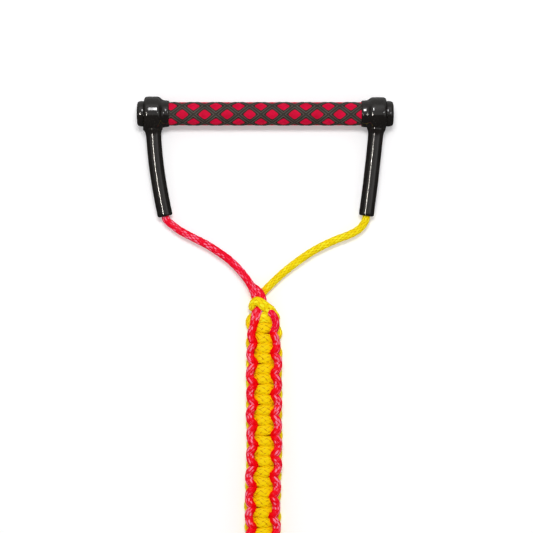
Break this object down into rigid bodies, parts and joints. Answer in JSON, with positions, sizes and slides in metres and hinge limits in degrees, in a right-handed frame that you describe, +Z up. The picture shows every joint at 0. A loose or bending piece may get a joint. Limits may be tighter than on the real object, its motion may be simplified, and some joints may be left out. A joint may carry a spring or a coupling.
{
  "type": "tow rope handle",
  "caption": "Padded grip bar with soft end boots and rope guards, whose two rope legs join into a flat square-knot braid ending in a tow eye.",
  "frame": {"origin": "middle of the grip bar, on the bar's axis", "axes": "+X along the bar, +Y away from the rope so the rope runs towards -Y, +Z up when the handle lies flat on a floor"},
  "size_m": [0.305, 0.6414, 0.0401],
  "materials": {
    "tube": "satin",
    "float_foam": "matte",
    "grip_red": "matte",
    "grip_black": "satin",
    "boot_black": "glossy",
    "rope_red": "woven, slight sheen",
    "rope_yellow": "woven, slight sheen",
    "whipping_black": "waxed thread"
  },
  "bodies": {
    "handle": {"handle_tube": "tube", "float_core": "float_foam", "grip_foam": "grip_red", "grip_net": "grip_black", "end_cap_left": "boot_black", "end_cap_right": "boot_black", "end_boot_left": "boot_black", "end_boot_right": "boot_black", "rope_hitch_red": "rope_red", "rope_hitch_yellow": "rope_yellow"},
    "bridle": {"bridle_leg_red": "rope_red", "bridle_leg_yellow": "rope_yellow"},
    "braid_head": {"head_wrap_yellow": "rope_yellow", "head_wrap_red": "rope_red", "head_core_red": "rope_red", "head_core_yellow": "rope_yellow"},
    "braid_1": {"wrap_yellow_1": "rope_yellow", "wrap_red_1": "rope_red", "core_red_1": "rope_red", "core_yellow_1": "rope_yellow"},
    "braid_2": {"wrap_yellow_2": "rope_yellow", "wrap_red_2": "rope_red", "core_red_2": "rope_red", "core_yellow_2": "rope_yellow"},
    "braid_3": {"wrap_yellow_3": "rope_yellow", "wrap_red_3": "rope_red", "core_red_3": "rope_red", "core_yellow_3": "rope_yellow"},
    "braid_4": {"wrap_yellow_4": "rope_yellow", "wrap_red_4": "rope_red", "core_red_4": "rope_red", "core_yellow_4": "rope_yellow"},
    "tow_eye": {"tow_eye_loop": "rope_yellow", "red_tail_end": "rope_red", "eye_whipping": "whipping_black"}
  },
  "joints": [
    {"name": "bridle_swing", "type": "hinge", "parent": "handle", "child": "bridle", "pos_m": [0, -0.126, -0.0077], "axis": [1, 0, 0], "range_deg": [-75, 75]},
    {"name": "braid_sway", "type": "hinge", "parent": "bridle", "child": "braid_head", "pos_m": [-0.0045, -0.2135, -0.008], "axis": [0, 0, 1], "range_deg": [-20, 20]},
    {"name": "braid_bend_1", "type": "hinge", "parent": "braid_head", "child": "braid_1", "pos_m": [-0.0018, -0.24318, -0.008], "axis": [1, 0, 0], "range_deg": [-25, 25]},
    {"name": "braid_bend_2", "type": "hinge", "parent": "braid_1", "child": "braid_2", "pos_m": [-0.0018, -0.31607, -0.008], "axis": [1, 0, 0], "range_deg": [-25, 25]},
    {"name": "braid_bend_3", "type": "hinge", "parent": "braid_2", "child": "braid_3", "pos_m": [-0.0018, -0.38898, -0.008], "axis": [1, 0, 0], "range_deg": [-25, 25]},
    {"name": "braid_bend_4", "type": "hinge", "parent": "braid_3", "child": "braid_4", "pos_m": [-0.0018, -0.46187, -0.008], "axis": [1, 0, 0], "range_deg": [-25, 25]},
    {"name": "eye_swing", "type": "hinge", "parent": "braid_4", "child": "tow_eye", "pos_m": [-0.0018, -0.53478, -0.008], "axis": [1, 0, 0], "range_deg": [-25, 25]}
  ]
}
